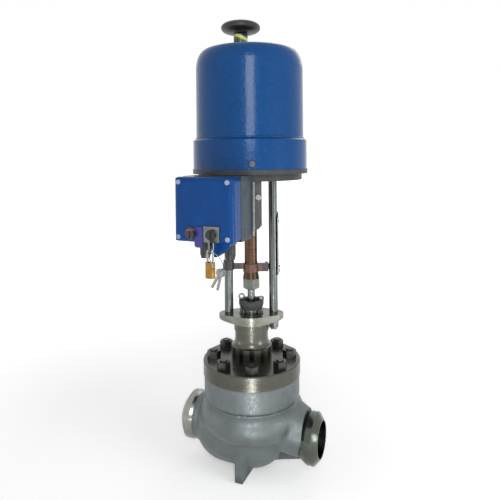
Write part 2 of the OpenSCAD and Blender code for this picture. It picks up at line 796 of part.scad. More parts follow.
module motor() color("darkgray") at_motor() difference() {
    union() {
        translate([0, 0, motor_z]) cylinder(r = motor_r, h = motor_h);
        translate([0, 0, motor_top_z - 1]) cylinder(r = 12, h = 4);
    }
    translate([0, 0, motor_z - 1]) cylinder(r = motor_shaft_r + free_gap, h = motor_h + 20);
}

module gear_plate() color("silver") at_head() difference() {
    translate([0, 0, plate_z]) cylinder(r = 78, h = plate_t);
    translate([0, 0, plate_z - 1]) cylinder(r = spindle_r + 1, h = plate_t + 2);
    rotate([0, 0, motor_turn]) translate([gear_centres, 0, plate_z - 1])
        cylinder(r = motor_shaft_r + 1, h = plate_t + 2);
    for (a = post_angles)
        rotate([0, 0, a]) translate([post_circle_r, 0, plate_z - 1]) cylinder(r = 2.6, h = 10);
    rotate([0, 0, 196]) translate([30, -20, plate_z - 1]) cube([60, 40, 10]);
}

post_circle_r = 71;
post_angles = [40, 170, 222, 357];

module plate_posts() color("silver") at_head() for (a = post_angles)
    rotate([0, 0, a]) translate([post_circle_r, 0, 0]) {
        translate([0, 0, hood_z]) cylinder(r = 5, h = plate_lift);
        translate([0, 0, plate_z - 0.5]) cylinder(r = 2.5, h = plate_t + 0.5);
        translate([0, 0, plate_z + plate_t]) hexagon(8, 4, 0.4);
    }

module thrust_bearings() color("silver") at_head() {
    translate([0, 0, hood_z]) ring(gear_hub_r + 2, spindle_r + 0.6, bearing_t);
    translate([0, 0, plate_z - bearing_t]) ring(gear_hub_r + 2, spindle_r + 0.6, bearing_t);
}

// Two travel switches with their rollers, on a bracket
module travel_switches() color("black") at_head() rotate([0, 0, -40]) {
    translate([30, -12, plate_z + plate_t]) cube([30, 24, 3]);
    for (y = [-11, 1]) {
        translate([32, y, plate_z + plate_t + 2.9]) cube([24, 10, 18]);
        translate([30, y + 5, plate_z + plate_t + 24]) rotate([90, 0, 0])
            cylinder(r = 4, h = 4, center = true);
        translate([28.5, y + 4, plate_z + plate_t + 19]) cube([6, 2, 6]);
    }
}

// Hand drive

module hand_sleeve() color("black") at_motor() difference() {
    union() {
        translate([0, 0, hood_top_z - boss_h - 0.3 - sleeve_flange_h])
            cylinder(r = sleeve_r + 3, h = sleeve_flange_h);
        translate([0, 0, hood_top_z - boss_h - 1])
            cylinder(r = sleeve_r, h = boss_h + 1 + knob_lift - 0.3);
    }
    translate([0, 0, hood_top_z - boss_h - 10])
        cylinder(r = hand_shaft_r + run_gap, h = boss_h + knob_lift + 20);
}

spring_z = motor_top_z + 3.3;
spring_h = hood_top_z - boss_h - 0.6 - sleeve_flange_h - spring_z;
spring_r = 10;
spring_wire_r = 1;
spring_turns = 6;
spring_steps = 14;

// Helix of round wire: rings of points that are joined into one closed tube
module coil(r, wire, h, turns, steps, sides) {
    count = turns * steps;
    points = [for (i = [0 : count], s = [0 : sides - 1]) let(
        a = i * 360 / steps,
        out = r + wire * cos(s * 360 / sides))
        [out * cos(a), out * sin(a), i * (h - 2 * wire) / count + wire + wire * sin(s * 360 / sides)]];
    sides_faces = [for (i = [0 : count - 1], s = [0 : sides - 1]) let(
        n = (s + 1) % sides)
        [i * sides + s, i * sides + n, (i + 1) * sides + n, (i + 1) * sides + s]];
    ends = [[for (s = [sides - 1 : -1 : 0]) s], [for (s = [0 : sides - 1]) count * sides + s]];
    polyhedron(points, concat(sides_faces, ends), 4);
}

module hand_spring() color("silver") at_motor() translate([0, 0, spring_z])
    coil(spring_r, spring_wire_r, spring_h, spring_turns, spring_steps, 6);

module hand_shaft() color("silver") at_motor() {
    translate([0, 0, motor_top_z + 6 + knob_stroke + 1])
        cylinder(r = hand_shaft_r, h = knob_z + knob_h - 8 - motor_top_z - 7 - knob_stroke);
}

module hand_knob() color("black") at_motor() translate([0, 0, knob_z]) difference() {
    half = knob_h / 2;
    rotate_extrude() polygon(concat([[0, 0]], [for (a = [-82 : 9 : 89]) let(c = cos(a), t = sin(a))
        [knob_r * pow(c, 0.85), half + half * (t < 0 ? -1 : 1) * pow(abs(t), 0.85)]],
        [[0, knob_h]]));
    translate([0, 0, -1]) cylinder(r = hand_shaft_r + fit_gap / 5, h = knob_h - 7 + fit_gap);
}

// Control box

module box_cover() color("royalblue") at_box() difference() {
    translate([0, 0, box_z]) intersection() {
        front_slab(box_w, cover_d, box_h, box_corner_r);
        translate([-box_w / 2, 0, box_h / 2]) rotate([0, 90, 0])
            front_slab(box_h, cover_d, box_w, box_corner_r);
        translate([0, 0, box_h / 2]) rotate([-90, 0, 0])
            translate([0, -box_h / 2, 0]) rounded_slab_up(box_w, box_h, cover_d, box_corner_r);
    }
    translate([0, box_wall, box_z + box_wall])
        front_slab(box_w - 2 * box_wall, cover_d, box_h - 2 * box_wall, box_corner_r - box_wall);
    for (x = [left_knob_x, right_knob_x])
        translate([x, -1, selector_z]) rotate([-90, 0, 0]) cylinder(r = 4 + run_gap, h = 20);
    cover_corners() {
        cylinder(r = 2.1, h = 30, center = true);
        translate([0, 0, -1]) cylinder(r = 3.8, h = 4);
    }
}

// Flat slab with round corners in its plane, used as the front view of the box
module rounded_slab_up(w, h, t, r) {
    translate([-w / 2 + r, 0, 0]) cube([w - 2 * r, h, t]);
    translate([-w / 2, r, 0]) cube([w, h - 2 * r, t]);
    for (x = [-w / 2 + r, w / 2 - r], y = [r, h - r])
        translate([x, y, 0]) cylinder(r = r, h = t);
}

module cover_corners() {
    for (x = [-box_w / 2 + 8, box_w / 2 - 8], z = [box_z + 7, box_top_z - 7])
        translate([x, 0.6, z]) rotate([90, 0, 0]) children();
}

module box_gasket() color("black") at_box() translate([0, gasket_y, box_z + 1]) difference() {
    translate([-box_w / 2 + 1, 0, 0]) cube([box_w - 2, 1.5, box_h - 2]);
    translate([-box_w / 2 + 5, -1, 4]) cube([box_w - 10, 4, box_h - 10]);
}

module box_housing() color("dimgray") at_box() difference() {
    translate([-box_w / 2, housing_y, box_z]) cube([box_w, box_d - housing_y, box_h]);
    translate([-box_w / 2 + box_wall, housing_y - 1, box_z + box_wall])
        cube([box_w - 2 * box_wall, box_d - housing_y + 1 - box_wall, box_h - 2 * box_wall]);
    for (p = gland_places)
        translate([p[0], p[1], box_z - 1]) cylinder(r = 7 + fit_gap, h = 20);
}

module cover_screws() color("silver") at_box() cover_corners() {
    translate([0, 0, -12]) cylinder(r = 2, h = 12);
    translate([0, 0, -1]) cylinder(r = 3.4, h = 2.4);
}

gland_places = [[-20, 44], [20, 44]];

// Cable gland: thread in the housing, hexagon and domed nut with a through bore
module cable_glands() color("black") at_box() for (p = gland_places)
    translate([p[0], p[1], box_z]) difference() {
        union() {
            translate([0, 0, -0.5]) cylinder(r = 7, h = 10);
            translate([0, 0, -6]) cylinder(r = 10.4, h = 6, $fn = 6);
            translate([0, 0, -23]) cylinder(r = 8, h = 17.5);
            translate([0, 0, -29]) cylinder(r1 = 6.6, r2 = 8, h = 6.01);
        }
        translate([0, 0, -32]) cylinder(r = 5, h = 62);
    }

module selector_plate() color("silver") at_box() difference() {
    translate([right_knob_x - 12, -2, selector_z - 10.5]) cube([24, 2, 21]);
    translate([right_knob_x, -3, selector_z]) rotate([-90, 0, 0]) cylinder(r = 4.3, h = 4);
}

module left_knob() color("black") at_box() translate([left_knob_x, 0, selector_z])
    rotate([90, 0, 0]) {
        translate([0, 0, -8]) cylinder(r = 4, h = 11);
        translate([0, 0, 2.2]) cylinder(r = 8.2, h = 2);
        translate([0, 0, 4.2]) cylinder(r1 = 7.6, r2 = 7, h = 3.8);
        translate([-1.2, -6, 7.9]) cube([2.4, 12, 1.6]);
    }

module right_knob() color("black") at_box() translate([right_knob_x, 0, selector_z])
    rotate([90, 0, 0]) {
        translate([0, 0, -8]) cylinder(r = 4, h = 11);
        translate([0, 0, 2.3]) cylinder(r = 6.5, h = 4.7);
        translate([-1.2, -5.5, 6.9]) cube([2.4, 11, 2.1]);
    }

// Flat tab that hangs beside the left knob's shaft and reaches below the cover
module blue_tab() color("mediumblue") at_box() translate([left_knob_x + 4.6, -1.8, box_z - 6]) {
    translate([0, 0, 4]) cube([13, 1.8, 24]);
    translate([4, 0, 0]) cube([5, 1.8, 5]);
    for (x = [4, 9])
        translate([x, 0, 4]) rotate([-90, 0, 0]) cylinder(r = 4, h = 1.8);
}

// Wedge-shaped block under the cover
module lock_block() color("royalblue") at_box()
    translate([right_knob_x - 1, cover_d - 3, box_z]) rotate([90, 0, 0]) linear_extrude(16)
        polygon([[0, 0], [0, -17], [1.5, -19], [4, -19], [24, -3.5], [25, 0]]);

// Leaf on the selector plate and a tongue that stands forward, with the shackle's hole
module hasp() color("dimgray") at_box() difference() {
    union() {
        translate([hasp_x - 6, -4, selector_z - 13]) cube([6 + hasp_t / 2, 2, 6]);
        translate([hasp_x - hasp_t / 2, -11.5, hasp_hole_z - 4.5])
            cube([hasp_t, 9.5, selector_z - 7 - hasp_hole_z + 4.5]);
    }
    translate([hasp_x, hasp_y, hasp_hole_z]) rotate([0, 90, 0])
        cylinder(r = 3, h = 10, center = true);
}

// Fixing holes of the bracket, in the box's frame, and its corner and screw behind the box
bracket_holes = [[-22, 18], [22, 18]];
leaf_x = 3.2;
leaf_y = box_d - box_front + 6;
leaf_screw = [leaf_x + 8.3, leaf_y, base_z - 24];

// Bracket of folded sheet: top leaf under the base, back leaf, side rib and front leaf
module box_bracket() color("dimgray") difference() {
    union() {
        at_box() {
            translate([-40, box_d, box_z + 10]) cube([box_w / 2 + 43, 3, base_z - box_z - 10]);
            translate([-30, box_d, base_z - 3]) cube([60, 28, 3]);
        }
        at_head() {
            translate([leaf_x, leaf_y - 30, box_z + 3]) cube([3, 33, base_z - box_z - 3]);
            translate([leaf_x, leaf_y, 0]) rotate([90, 0, 0]) mirror([0, 0, 1])
                linear_extrude(3) polygon([
                    [0, box_z + 8], [8.5, box_z + 8], [13.8, box_z + 14], [13.8, base_z], [0, base_z]
                ]);
        }
    }
    at_box() for (p = bracket_holes)
        translate([p[0], box_d + p[1], base_z - 4]) cylinder(r = 2.6, h = 10);
    at_head() translate(leaf_screw - [0, 7, 0]) rotate([-90, 0, 0]) cylinder(r = 3.1, h = 20);
}

module bracket_screws() color("silver") {
    at_box() for (p = bracket_holes) translate([p[0], box_d + p[1], 0]) {
        translate([0, 0, base_z - 3]) cylinder(r = 2.5, h = 2.9);
        translate([0, 0, base_z - 6]) cylinder(r = 4.6, h = 3);
    }
    at_head() translate(leaf_screw) rotate([90, 0, 0]) {
        hexagon(9, 4);
        translate([0, 0, -10]) cylinder(r = 3, h = 11);
    }
}

// Padlock and keys

module padlock_body() color("goldenrod") at_box() difference() {
    translate([hasp_x, hasp_y - padlock_d / 2, padlock_z - padlock_h])
        rounded_slab(padlock_w, padlock_d, padlock_h, 2.5);
    for (side = [-1, 1])
        translate([hasp_x + side * bow_r, hasp_y, padlock_z - 6]) cylinder(r = wire_r + fit_gap, h = 10);
}

module padlock_shackle() color("silver") at_box() translate([hasp_x, hasp_y, 0]) {
    for (side = [-1, 1]) translate([side * bow_r, 0, padlock_z - 5])
        cylinder(r = wire_r, h = bow_z - padlock_z + 5);
    translate([0, 0, bow_z]) rotate([90, 0, 0]) rotate_extrude(angle = 180)
        translate([bow_r, 0]) circle(wire_r);
}

ring_r = 13;
ring_slope = 54;
ring_wire_r = 0.6;
ring_x = hasp_x + bow_r - wire_r - 1 + ring_r * cos(ring_slope);
ring_z = bow_z - 1 - ring_r * sin(ring_slope);

module key_ring() color("silver") at_box() translate([ring_x, hasp_y, ring_z])
    rotate([0, ring_slope, 0]) rotate_extrude() translate([ring_r, 0]) circle(ring_wire_r);

key_x = ring_x + ring_r * cos(ring_slope);
key_z = ring_z - ring_r * sin(ring_slope);

// A key that hangs from its hole: lean turns the blade away from straight down
module key(lean) {
    rotate([0, lean, 0]) rotate([90, 0, 0]) linear_extrude(key_t) difference() {
        union() {
            translate([0, -4]) circle(5.8);
            translate([-1.9, -28]) square([3.8, 20]);
        }
        circle(1.5);
    }
}

module keys() color("silver") at_box() translate([key_x, hasp_y, key_z]) {
    translate([0, -0.1, 0]) key(31);
    translate([0, key_t + 0.1, 0]) key(14);
}

valve_body();
seat_gasket();
seat_ring();
cage();
cage_gasket();
bonnet_gasket();
bonnet();
bonnet_studs();
bonnet_nuts();
guide_bush();
packing_rings();
gland_follower();
gland_flange();
gland_bolts();
yoke_plate();
pillars();
pillar_nuts();
travel_scale();
scale_screws();
actuator_base();
base_bush();
hood();
hood_gasket();
hood_screws();
gear_plate();
plate_posts();
motor();
thrust_bearings();
travel_switches();
box_bracket();
bracket_screws();
box_housing();
box_gasket();
box_cover();
cover_screws();
lock_block();
cable_glands();
selector_plate();
blue_tab();
hasp();
plug();
piston_ring();
stem();
coupling_nut();
spindle();
travel_arm();
pointer();
drive_gear();
motor_pinion();
motor_shaft();
hand_sleeve();
hand_spring();
hand_shaft();
hand_knob();
left_knob();
right_knob();
padlock_body();
padlock_shackle();
key_ring();
keys();
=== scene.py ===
"""Looks of the cage control valve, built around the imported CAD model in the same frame, in metres."""
import json
import math

import bmesh
import bpy
from mathutils import Matrix, Vector


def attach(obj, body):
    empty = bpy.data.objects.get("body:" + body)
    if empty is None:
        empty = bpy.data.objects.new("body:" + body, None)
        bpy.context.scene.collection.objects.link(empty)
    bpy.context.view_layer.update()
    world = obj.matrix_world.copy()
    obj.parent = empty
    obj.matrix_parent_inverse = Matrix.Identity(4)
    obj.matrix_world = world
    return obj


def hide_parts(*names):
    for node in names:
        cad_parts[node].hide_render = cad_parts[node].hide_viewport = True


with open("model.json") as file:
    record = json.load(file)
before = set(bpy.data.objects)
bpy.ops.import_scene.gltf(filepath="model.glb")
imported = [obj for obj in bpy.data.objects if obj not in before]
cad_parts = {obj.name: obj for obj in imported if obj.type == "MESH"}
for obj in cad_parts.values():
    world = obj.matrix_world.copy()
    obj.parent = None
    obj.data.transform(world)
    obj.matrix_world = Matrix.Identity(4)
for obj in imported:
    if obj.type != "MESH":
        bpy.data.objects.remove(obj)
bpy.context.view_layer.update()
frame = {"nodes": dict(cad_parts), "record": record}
nodes = frame["nodes"]
ROOT = "root_frame"

# Places and angles of the CAD model
STEM_X = 0.115
HEAD_TURN = math.radians(22.5)
MOTOR_TURN = math.radians(110.5)
GEAR_CENTRES = 0.04
BOX_PLACE = (-0.0655, -0.131, 0)
BOX_TURN = math.radians(-24)
SELECTOR_Z = 0.3305
FLOOR_Z = -0.0625

# Frames of the part: the stem axis, the pipe, the turned head, the motor axis and the box front
STEM = Matrix.Translation((STEM_X, 0, 0))
ALONG_PIPE = STEM @ Matrix.Rotation(math.radians(90), 4, "Y")
HEAD = STEM @ Matrix.Rotation(HEAD_TURN, 4, "Z")
MOTOR = HEAD @ Matrix.Rotation(MOTOR_TURN, 4, "Z") @ Matrix.Translation((GEAR_CENTRES, 0, 0))
BOX = HEAD @ Matrix.Translation(BOX_PLACE) @ Matrix.Rotation(BOX_TURN, 4, "Z")


def mm(*values):
    """Millimetres to metres."""
    return tuple(v / 1000 for v in values)


def from_stem(distance, turn):
    """(x, y) at a distance from the stem axis, turned from -Y towards +X."""
    return STEM_X + distance * math.sin(turn), -distance * math.cos(turn)


# Camera, floor and light

def place_camera():
    """A level camera in front of the head, its horizon above the middle as in the photograph."""
    distance, height, roll = 0.810, 0.437, math.radians(-0.5)
    data = bpy.data.cameras.new("camera")
    data.lens, data.sensor_width, data.sensor_fit = 36.0, 36.0, "HORIZONTAL"
    data.shift_y = -0.19
    data.clip_start, data.clip_end = 0.01, 50
    cam = bpy.data.objects.new("camera", data)
    bpy.context.scene.collection.objects.link(cam)
    cam.location = (*from_stem(distance, HEAD_TURN), height)
    aim = Matrix.Rotation(HEAD_TURN, 3, "Z") @ Matrix.Rotation(math.radians(90), 3, "X")
    cam.rotation_euler = (aim @ Matrix.Rotation(roll, 3, "Z")).to_euler()
    bpy.context.scene.camera = cam


def area_light(name, place, size, power):
    """A white rectangular lamp, its size in metres and its power in watts."""
    data = bpy.data.lights.new(name, "AREA")
    data.shape, data.size, data.size_y = "RECTANGLE", size[0], size[1]
    data.energy = power
    lamp = bpy.data.objects.new(name, data)
    bpy.context.scene.collection.objects.link(lamp)
    lamp.location = place
    return lamp


def light_on_stem(name, place, target_z, size, power):
    """A lamp that faces the stem axis at a height."""
    lamp = area_light(name, place, size, power)
    towards = Vector((STEM_X, 0, target_z)) - Vector(place)
    lamp.rotation_euler = towards.to_track_quat("-Z", "Y").to_euler()
    return lamp


def floor_strip(near, far, width, power):
    """A strip of light on the floor towards the camera, which the upright round parts reflect."""
    above_floor = 0.0075
    place = (*from_stem((near + far) / 2, HEAD_TURN), FLOOR_Z + above_floor)
    lamp = area_light("floor_strip", place, (width, far - near), power)
    lamp.rotation_euler = (math.pi, 0, HEAD_TURN)
    lamp.visible_camera = False


def seen_or_mirrored(nt):
    """1 for rays from the camera and for those that metal or glass sends on, else 0."""
    rays = nt.nodes.new("ShaderNodeLightPath")
    total = rays.outputs["Is Camera Ray"]
    for kind in ("Is Glossy Ray", "Is Transmission Ray"):
        more = nt.nodes.new("ShaderNodeMath")
        more.operation = "MAXIMUM"
        nt.links.new(total, more.inputs[0])
        nt.links.new(rays.outputs[kind], more.inputs[1])
        total = more.outputs[0]
    return total


def set_world(ambient):
    """Pale surroundings: white to the camera and in reflections, dimmer as light on the object."""
    world = bpy.data.worlds.new("surroundings")
    bpy.context.scene.world = world
    world.use_nodes = True
    nt = world.node_tree
    nt.nodes.clear()
    out = nt.nodes.new("ShaderNodeOutputWorld")
    mix = nt.nodes.new("ShaderNodeMixShader")
    for socket, strength in ((1, ambient), (2, 1.0)):
        sky = nt.nodes.new("ShaderNodeBackground")
        sky.inputs["Color"].default_value = (1, 1, 1, 1)
        sky.inputs["Strength"].default_value = strength
        nt.links.new(sky.outputs[0], mix.inputs[socket])
    nt.links.new(seen_or_mirrored(nt), mix.inputs["Fac"])
    nt.links.new(mix.outputs[0], out.inputs["Surface"])


def make_floor():
    """Pale floor that keeps the object's shadow and turns white further out."""
    mesh = bpy.data.meshes.new("floor")
    half = 9
    corners = [(x * half, y * half, FLOOR_Z) for x, y in ((-1, -1), (1, -1), (1, 1), (-1, 1))]
    mesh.from_pydata(corners, [], [(0, 1, 2, 3)])
    floor = bpy.data.objects.new("floor", mesh)
    bpy.context.scene.collection.objects.link(floor)
    mat = bpy.data.materials.new("pale_floor")
    mat.use_nodes = True
    nt = mat.node_tree
    bsdf = nt.nodes["Principled BSDF"]
    bsdf.inputs["Base Color"].default_value = (0.88, 0.88, 0.88, 1)
    bsdf.inputs["Roughness"].default_value = 0.9
    bsdf.inputs["Specular IOR Level"].default_value = 0.1
    bsdf.inputs["Emission Color"].default_value = (1, 1, 1, 1)
    place = nt.nodes.new("ShaderNodeTexCoord")
    reach = nt.nodes.new("ShaderNodeVectorMath")
    reach.operation = "LENGTH"
    nt.links.new(place.outputs["Object"], reach.inputs[0])
    rise = nt.nodes.new("ShaderNodeMapRange")
    for key, value in (("From Min", 0.3), ("From Max", 1.8), ("To Min", 0.34), ("To Max", 1.0)):
        rise.inputs[key].default_value = value
    nt.links.new(reach.outputs["Value"], rise.inputs["Value"])
    glow = nt.nodes.new("ShaderNodeMath")
    glow.operation = "MULTIPLY"
    nt.links.new(seen_or_mirrored(nt), glow.inputs[0])
    nt.links.new(rise.outputs[0], glow.inputs[1])
    nt.links.new(glow.outputs[0], bsdf.inputs["Emission Strength"])
    mesh.materials.append(mat)


place_camera()
set_world(ambient=0.38)
make_floor()
light_on_stem("key", (0.80, -1.55, 0.95), 0.62, (0.5, 0.95), 14)
right_fill = light_on_stem("right_fill", (1.6, -0.35, 0.8), 0.25, (0.9, 1.4), 9)
left_fill = light_on_stem("left_fill", (-1.5, -0.7, 0.9), 0.3, (0.9, 1.4), 3)
right_fill.visible_glossy = left_fill.visible_glossy = False
light_on_stem("right_strip", (1.3, -0.2, 0.12), 0.12, (0.2, 0.34), 2.0)
light_on_stem("left_strip", (-1.2, -0.6, 0.12), 0.12, (0.2, 0.34), 0.8)
light_on_stem("back_rim", (0.2, 1.7, 1.4), 0.35, (1.2, 1.0), 3)
floor_strip(near=0.25, far=1.3, width=0.03, power=3.0)
bpy.context.scene.view_settings.view_transform = "Standard"


# Materials: every one is procedural, on object coordinates, with its colour as seen on the screen

def linear(r, g, b):
    """A colour as it is seen on the screen, 0 to 255, in linear light."""
    def channel(value):
        value = value / 255
        return value / 12.92 if value <= 0.04045 else ((value + 0.055) / 1.055) ** 2.4
    return channel(r), channel(g), channel(b)


class Nodes:
    """Short calls for the nodes of one material."""

    def __init__(self, name, colour, roughness, metallic=0.0, **sockets):
        self.mat = bpy.data.materials.new(name)
        self.mat.use_nodes = True
        self.nt = self.mat.node_tree
        self.bsdf = self.nt.nodes["Principled BSDF"]
        self.bsdf.inputs["Base Color"].default_value = (*colour, 1)
        self.bsdf.inputs["Roughness"].default_value = roughness
        self.bsdf.inputs["Metallic"].default_value = metallic
        for key, value in sockets.items():
            self.bsdf.inputs[key.replace("_", " ")].default_value = value
        self.colour = colour
        self.place = self.nt.nodes.new("ShaderNodeTexCoord").outputs["Object"]
        self.normal = None

    def link(self, a, b):
        self.nt.links.new(a, b)

    def scaled(self, scale, place=None):
        """Object coordinates stretched by a scale on each axis, after an optional frame."""
        node = self.nt.nodes.new("ShaderNodeMapping")
        node.inputs["Scale"].default_value = scale
        self.link(place or self.place, node.inputs["Vector"])
        return node.outputs[0]

    def in_frame(self, matrix):
        """Object coordinates in one of the part's frames."""
        node = self.nt.nodes.new("ShaderNodeMapping")
        back = matrix.inverted()
        node.inputs["Location"].default_value = back.translation
        node.inputs["Rotation"].default_value = back.to_euler()
        self.link(self.place, node.inputs["Vector"])
        return node.outputs[0]

    def noise(self, scale, detail=3.0, rough=0.5, place=None):
        node = self.nt.nodes.new("ShaderNodeTexNoise")
        node.inputs["Scale"].default_value = scale
        node.inputs["Detail"].default_value = detail
        node.inputs["Roughness"].default_value = rough
        self.link(place or self.place, node.inputs["Vector"])
        return node.outputs["Fac"]

    def cells(self, scale, smooth):
        """Round soft cells, for dimples."""
        node = self.nt.nodes.new("ShaderNodeTexVoronoi")
        node.feature = "SMOOTH_F1"
        node.inputs["Scale"].default_value = scale
        node.inputs["Smoothness"].default_value = smooth
        self.link(self.place, node.inputs["Vector"])
        return node.outputs["Distance"]

    def split(self, place):
        """The X, Y and Z outputs of a place."""
        node = self.nt.nodes.new("ShaderNodeSeparateXYZ")
        self.link(place, node.inputs[0])
        return node.outputs

    def length(self, place):
        node = self.nt.nodes.new("ShaderNodeVectorMath")
        node.operation = "LENGTH"
        self.link(place, node.inputs[0])
        return node.outputs["Value"]

    def joined(self, x, y):
        node = self.nt.nodes.new("ShaderNodeCombineXYZ")
        self.link(x, node.inputs[0])
        self.link(y, node.inputs[1])
        return node.outputs[0]

    def turned(self, matrix):
        """Radius and height in a frame: the same all round its Z axis, for the marks of a lathe."""
        axes = self.split(self.in_frame(matrix))
        return self.joined(self.length(self.joined(axes["X"], axes["Y"])), axes["Z"])

    def ramp(self, fac, stops):
        """A smooth scale of greys or colours from (position, value) stops."""
        node = self.nt.nodes.new("ShaderNodeValToRGB")
        ramp = node.color_ramp.elements
        ramp.remove(ramp[1])
        ramp[0].position = stops[0][0]
        for k, (where, value) in enumerate(stops):
            element = ramp[0] if k == 0 else ramp.new(where)
            element.color = (*value, 1) if isinstance(value, tuple) else (value, value, value, 1)
        self.link(fac, node.inputs["Fac"])
        return node.outputs["Color"]

    def feed(self, value, socket):
        """A number or a colour goes into the socket itself, and an output is linked to it."""
        if isinstance(value, tuple):
            socket.default_value = (*value, 1)
        elif isinstance(value, (int, float)):
            socket.default_value = value
        else:
            self.link(value, socket)

    def math(self, operation, a, b):
        node = self.nt.nodes.new("ShaderNodeMath")
        node.operation = operation
        self.feed(a, node.inputs[0])
        self.feed(b, node.inputs[1])
        return node.outputs[0]

    def mix(self, fac, a, b):
        node = self.nt.nodes.new("ShaderNodeMix")
        node.data_type = "RGBA"
        sockets = {socket.identifier: socket for socket in node.inputs}
        for name, value in (("Factor_Float", fac), ("A_Color", a), ("B_Color", b)):
            self.feed(value, sockets[name])
        return next(s for s in node.outputs if s.identifier == "Result_Color")

    def tint(self, fac, low, high):
        """Colour that varies with a texture, between the base colour times low and times high."""
        stops = [(0.3, tuple(c * low for c in self.colour)),
                 (0.7, tuple(min(c * high, 1) for c in self.colour))]
        colour = self.ramp(fac, stops)
        self.link(colour, self.bsdf.inputs["Base Color"])
        return colour

    def rough_by(self, fac, low, high):
        """Roughness that varies with a texture between two values."""
        self.link(self.ramp(fac, [(0.3, low), (0.7, high)]), self.bsdf.inputs["Roughness"])

    def bump(self, fac, distance, strength):
        """Fine relief of a depth in metres, on top of what was given before."""
        node = self.nt.nodes.new("ShaderNodeBump")
        node.inputs["Distance"].default_value = distance
        node.inputs["Strength"].default_value = strength
        self.link(fac, node.inputs["Height"])
        if self.normal is not None:
            self.link(self.normal, node.inputs["Normal"])
        self.normal = node.outputs["Normal"]
        self.link(self.normal, self.bsdf.inputs["Normal"])


def cast_paint():
    """Grey paint over a sand casting: grainy skin, soft lumps, and painted shade that darkens the hollows
    and creases.
    """
    m = Nodes("cast_paint", linear(106, 113, 114), 0.32, 0.7)
    lumps = m.noise(45, 3)
    paint = m.tint(m.noise(30, 6, 0.65), 0.80, 1.12)
    hollow = m.nt.nodes.new("ShaderNodeAmbientOcclusion")
    hollow.inputs["Distance"].default_value = 0.022
    open_air = m.ramp(hollow.outputs["AO"], [(0.45, 0.0), (0.92, 1.0)])
    # Painted shade: the paint turns dark where ambient occlusion finds the surface hemmed in, in hollows and
    # creases.
    crease_shade = m.mix(0.62, paint, linear(40, 42, 40))
    m.link(m.mix(open_air, crease_shade, paint), m.bsdf.inputs["Base Color"])
    m.rough_by(m.noise(260, 4), 0.34, 0.56)
    m.bump(lumps, 0.0009, 0.6)
    m.bump(m.noise(420, 4, 0.6), 0.00028, 0.9)
    m.bump(m.noise(1400, 2, 0.5), 0.00008, 0.8)
    return m.mat


def turned_steel(name, colour, matrix, roughness=0.24):
    """Bare steel off the lathe: fine rings round the axis, slight stains."""
    m = Nodes(name, colour, roughness, 1.0, Anisotropic=0.45)
    ring = m.turned(matrix)
    marks = m.noise(2600, 2, 0.6, ring)
    broad = m.noise(180, 4, 0.6, ring)
    stains = m.noise(38, 6, 0.7)
    m.tint(m.mix(0.5, broad, stains), 0.72, 1.12)
    m.rough_by(m.mix(0.5, marks, stains), roughness - 0.10, roughness + 0.14)
    m.bump(marks, 0.00003, 0.7)
    return m.mat


def plain_steel(name, colour, roughness, scale=60):
    """Milled or drawn steel with fine scratches."""
    m = Nodes(name, colour, roughness, 1.0)
    scratches = m.noise(900, 3, 0.7, m.scaled((1.0, 1.0, 0.05)))
    m.tint(m.noise(scale, 5, 0.65), 0.68, 1.15)
    m.rough_by(m.mix(0.5, scratches, m.noise(scale * 2, 4)), roughness - 0.08, roughness + 0.16)
    m.bump(scratches, 0.00002, 0.6)
    return m.mat


def drawn_steel(name, colour, roughness):
    """Ground round bar: marks run along the bar."""
    m = Nodes(name, colour, roughness, 1.0, Anisotropic=0.3)
    streaks = m.noise(1500, 3, 0.6, m.scaled((1.0, 1.0, 0.03)))
    m.tint(m.noise(25, 5, 0.7, m.scaled((1, 1, 0.3))), 0.75, 1.1)
    m.rough_by(streaks, roughness - 0.06, roughness + 0.1)
    m.bump(streaks, 0.000015, 0.6)
    return m.mat


def hammered_blue():
    """Glossy blue hammer-finish enamel with shallow round dimples."""
    m = Nodes("hammered_blue", linear(1, 62, 116), 0.22, 0.0,
              Coat_Weight=0.25, Coat_Roughness=0.12, Specular_IOR_Level=0.1)
    dimples = m.cells(230, 0.7)
    small = m.cells(520, 0.6)
    m.tint(m.mix(0.5, dimples, m.noise(28, 5, 0.6)), 0.86, 1.12)
    m.bump(dimples, 0.0006, 0.5)
    m.bump(small, 0.0002, 0.45)
    return m.mat


def box_paint():
    """Glossy blue paint on a die-cast cover, with fine orange peel."""
    m = Nodes("box_paint", linear(1, 58, 118), 0.26, 0.0,
              Coat_Weight=0.15, Coat_Roughness=0.1, Specular_IOR_Level=0.1)
    m.tint(m.noise(34, 5, 0.6), 0.84, 1.14)
    m.rough_by(m.noise(150, 4), 0.2, 0.36)
    m.bump(m.noise(650, 3, 0.5), 0.00007, 0.7)
    return m.mat


def dark_paint(name, colour, roughness=0.45):
    """Matt paint or a dull coating with faint unevenness."""
    m = Nodes(name, colour, roughness, 0.0, Specular_IOR_Level=0.2)
    m.tint(m.noise(60, 5, 0.6), 0.75, 1.25)
    m.rough_by(m.noise(240, 4), roughness - 0.1, roughness + 0.14)
    m.bump(m.noise(700, 3, 0.6), 0.00008, 0.8)
    return m.mat


def plastic(name, colour, roughness=0.4):
    """Moulded plastic with a fine eroded grain."""
    m = Nodes(name, colour, roughness, 0.0)
    grain = m.noise(1800, 2, 0.5)
    m.tint(m.noise(80, 4), 0.85, 1.2)
    m.rough_by(m.noise(300, 3), roughness - 0.08, roughness + 0.12)
    m.bump(grain, 0.00004, 0.6)
    return m.mat


def bronze():
    """Turned bronze spindle, browned by oil."""
    m = Nodes("bronze", linear(84, 66, 54), 0.24, 1.0)
    ring = m.turned(HEAD)
    marks = m.noise(2200, 2, 0.6, ring)
    m.tint(m.mix(0.6, m.noise(90, 5, 0.7, m.scaled((1, 1, 0.25))), m.noise(120, 3, 0.6, ring)),
           0.55, 1.2)
    m.rough_by(marks, 0.16, 0.34)
    m.bump(marks, 0.00002, 0.6)
    return m.mat


